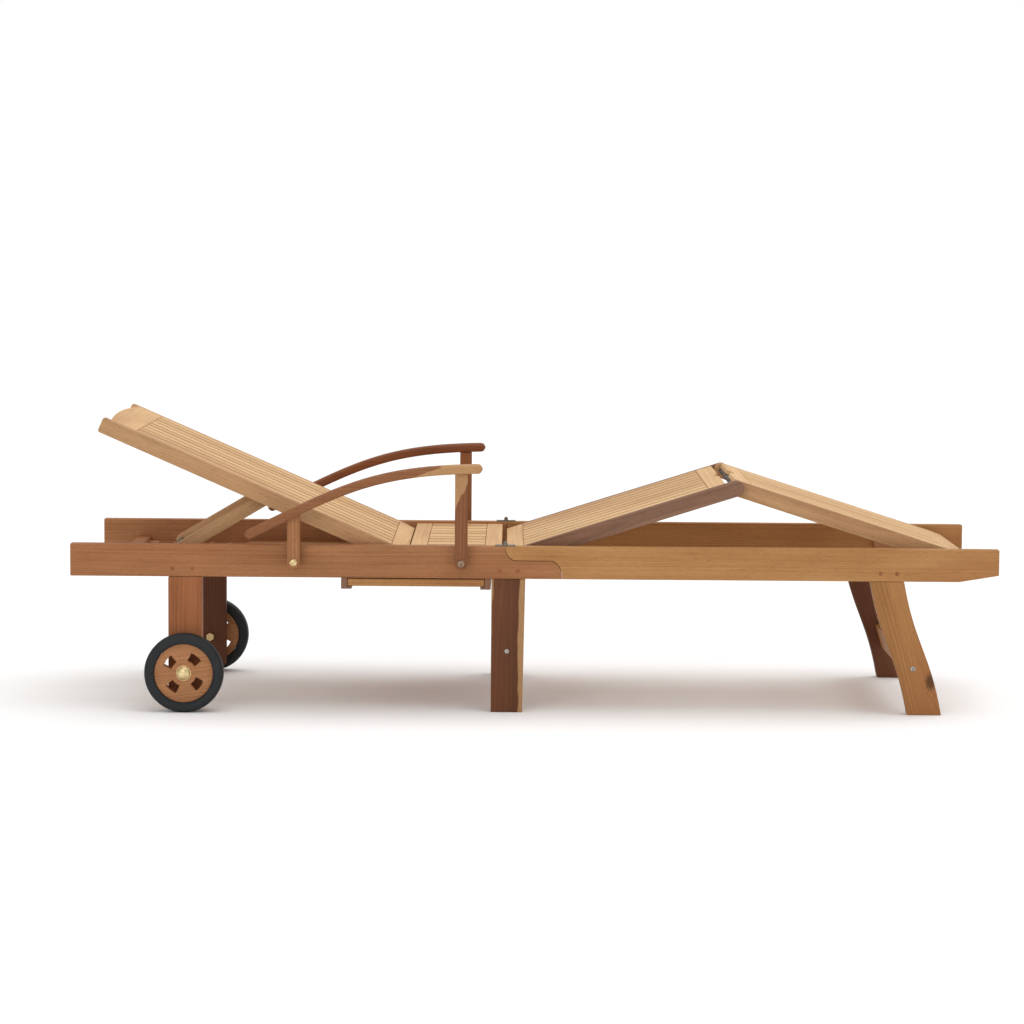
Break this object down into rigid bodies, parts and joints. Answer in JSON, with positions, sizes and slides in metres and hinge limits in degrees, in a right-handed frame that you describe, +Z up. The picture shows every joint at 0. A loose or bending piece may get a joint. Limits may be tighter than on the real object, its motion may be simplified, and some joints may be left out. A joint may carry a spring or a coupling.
{
  "type": "reclining sun lounger",
  "caption": "Wooden folding sun lounger with a propped backrest, raising knee section, arched armrests, slide-out side tray and two rubber-tyred wheels.",
  "frame": {"origin": "on the ground under the middle of the lounger, halfway along its length and its width", "axes": "+X towards the foot end, +Y towards the left side of someone lying on it, +Z up"},
  "size_m": [2.0004, 0.702, 0.6307],
  "materials": {
    "teak_frame": "oiled reddish-brown teak",
    "teak_legs": "oiled dark red-brown teak",
    "teak_foot": "oiled golden-brown teak",
    "teak_slats": "oiled light golden teak",
    "tyre": "matt black rubber",
    "brass": "plain brass, slightly dulled",
    "steel": "satin stainless steel"
  },
  "bodies": {
    "head_frame": {"head_rail_right": "teak_frame", "head_rail_left": "teak_frame", "head_leg_right": "teak_legs", "head_leg_left": "teak_legs", "centre_leg_right": "teak_legs", "centre_leg_left": "teak_legs", "centre_stretcher": "teak_legs", "head_cross_rail": "teak_frame", "seat_cross_rail": "teak_frame", "prop_ratchet_right": "teak_frame", "prop_ratchet_left": "teak_frame", "seat_deck": "teak_slats", "rear_tray_guide": "teak_legs", "front_tray_guide": "teak_legs", "armrest_right": "teak_frame", "armrest_left": "teak_frame", "rear_arm_post_right": "teak_frame", "rear_arm_post_left": "teak_frame", "front_arm_post_right": "teak_frame", "front_arm_post_left": "teak_frame", "rear_arm_bolt_right": "brass", "rear_arm_bolt_left": "brass", "front_arm_bolt_right": "steel", "front_arm_bolt_left": "steel", "axle_bolt_right": "brass", "axle_bolt_left": "brass", "head_hinge_leaf_right": "steel", "head_hinge_leaf_left": "steel"},
    "backrest": {"back_side_rail_right": "teak_slats", "back_side_rail_left": "teak_slats", "back_deck": "teak_slats", "back_pivot_rod": "steel", "prop_pivot_rod": "steel"},
    "prop": {"prop_arm_right": "teak_slats", "prop_arm_left": "teak_slats", "prop_rod": "steel"},
    "foot_frame": {"foot_rail_right": "teak_foot", "foot_rail_left": "teak_foot", "foot_leg_right": "teak_foot", "foot_leg_left": "teak_foot", "foot_stretcher": "teak_foot", "foot_cross_rail": "teak_foot", "foot_ratchet_right": "teak_foot", "foot_ratchet_left": "teak_foot", "foot_hinge_leaf_right": "steel", "foot_hinge_leaf_left": "steel"},
    "thigh_panel": {"thigh_side_rail_right": "teak_slats", "thigh_side_rail_left": "teak_slats", "thigh_deck": "teak_slats", "thigh_pivot_rod": "steel", "knee_rod": "steel"},
    "calf_panel": {"calf_side_rail_right": "teak_slats", "calf_side_rail_left": "teak_slats", "calf_deck": "teak_slats", "foot_rod": "steel"},
    "wheel_right": {"tyre_right": "tyre", "wheel_disc_right": "teak_legs"},
    "wheel_left": {"tyre_left": "tyre", "wheel_disc_left": "teak_legs"},
    "tray": {"tray": "teak_frame"}
  },
  "joints": [
    {"name": "backrest_recline", "type": "hinge", "parent": "head_frame", "child": "backrest", "pos_m": [-0.30017, 0, 0.338], "axis": [0, 1, 0], "range_deg": [-23.5, 21.5]},
    {"name": "prop_swing", "type": "hinge", "parent": "backrest", "child": "prop", "pos_m": [-0.58489, 0, 0.45308], "axis": [0, 1, 0], "range_deg": [-50, 54.5]},
    {"name": "foot_fold", "type": "hinge", "parent": "head_frame", "child": "foot_frame", "pos_m": [-0.06333, 0, 0.365], "axis": [0, -1, 0], "range_deg": [0, 115]},
    {"name": "thigh_raise", "type": "hinge", "parent": "foot_frame", "child": "thigh_panel", "pos_m": [-0.03083, 0, 0.338], "axis": [0, -1, 0], "range_deg": [-17.6, 13.4]},
    {"name": "knee_bend", "type": "hinge", "parent": "thigh_panel", "child": "calf_panel", "pos_m": [0.43432, 0, 0.48556], "axis": [0, 1, 0], "range_deg": [-35.7, 27.3]},
    {"name": "wheel_right_spin", "type": "hinge", "parent": "head_frame", "child": "wheel_right", "pos_m": [-0.75267, -0.324, 0.085], "axis": [0, 1, 0], "continuous": true},
    {"name": "wheel_left_spin", "type": "hinge", "parent": "head_frame", "child": "wheel_left", "pos_m": [-0.75267, 0.324, 0.085], "axis": [0, 1, 0], "continuous": true},
    {"name": "tray_slide", "type": "slide", "parent": "head_frame", "child": "tray", "axis": [0, -1, 0], "range_m": [0, 0.3]}
  ],
  "couplings": [
    {"joint": "prop_swing", "follows": "backrest_recline", "ratio": -2.25},
    {"joint": "knee_bend", "follows": "thigh_raise", "ratio": 2}
  ]
}
